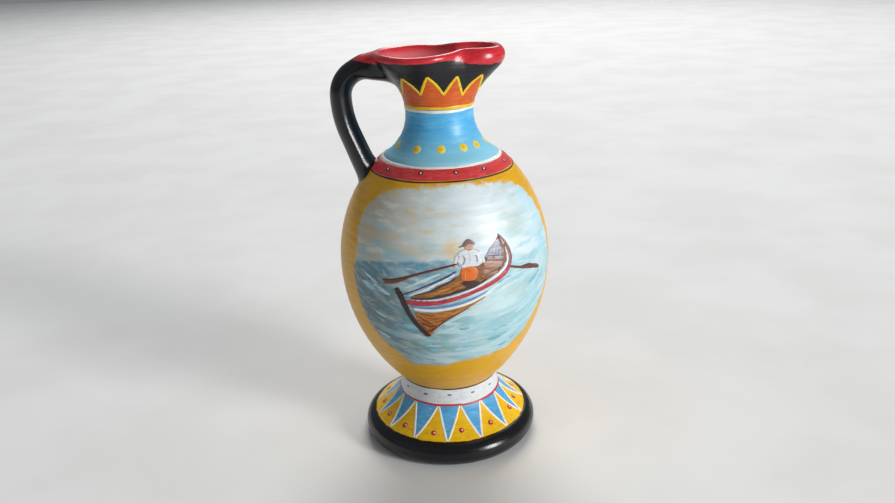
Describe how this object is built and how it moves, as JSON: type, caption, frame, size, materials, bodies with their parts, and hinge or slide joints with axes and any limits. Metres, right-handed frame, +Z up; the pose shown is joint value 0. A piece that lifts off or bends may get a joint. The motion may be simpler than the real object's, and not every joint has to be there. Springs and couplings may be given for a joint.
{
  "type": "painted pottery jug",
  "caption": "Painted earthenware pouring jug with a pinched trefoil mouth, one high strap handle, an egg-shaped belly and a flared pedestal foot.",
  "frame": {"origin": "on the jug's axis in the plane of its standing ring", "axes": "+Z up the jug's axis, +X towards the pouring spout, -X towards the handle, -Y towards the painted picture"},
  "size_m": [0.1048, 0.1048, 0.2029],
  "materials": {
    "painted_foot": "satin enamel paint on fired clay: yellow and blue triangles, gloss black ring",
    "painted_belly": "satin ochre enamel paint on fired clay with a painted seascape",
    "painted_neck": "satin blue, orange and black paint on fired clay with a gloss red lip",
    "black_enamel": "gloss black enamel on fired clay",
    "clay_slip": "matt fired clay"
  },
  "bodies": {
    "root": {"foot": "painted_foot", "belly": "painted_belly", "neck_and_mouth": "painted_neck", "handle": "black_enamel", "foot_slip_joint": "clay_slip", "neck_slip_joint": "clay_slip", "handle_top_slip_joint": "clay_slip", "handle_base_slip_joint": "clay_slip"}
  },
  "joints": []
}
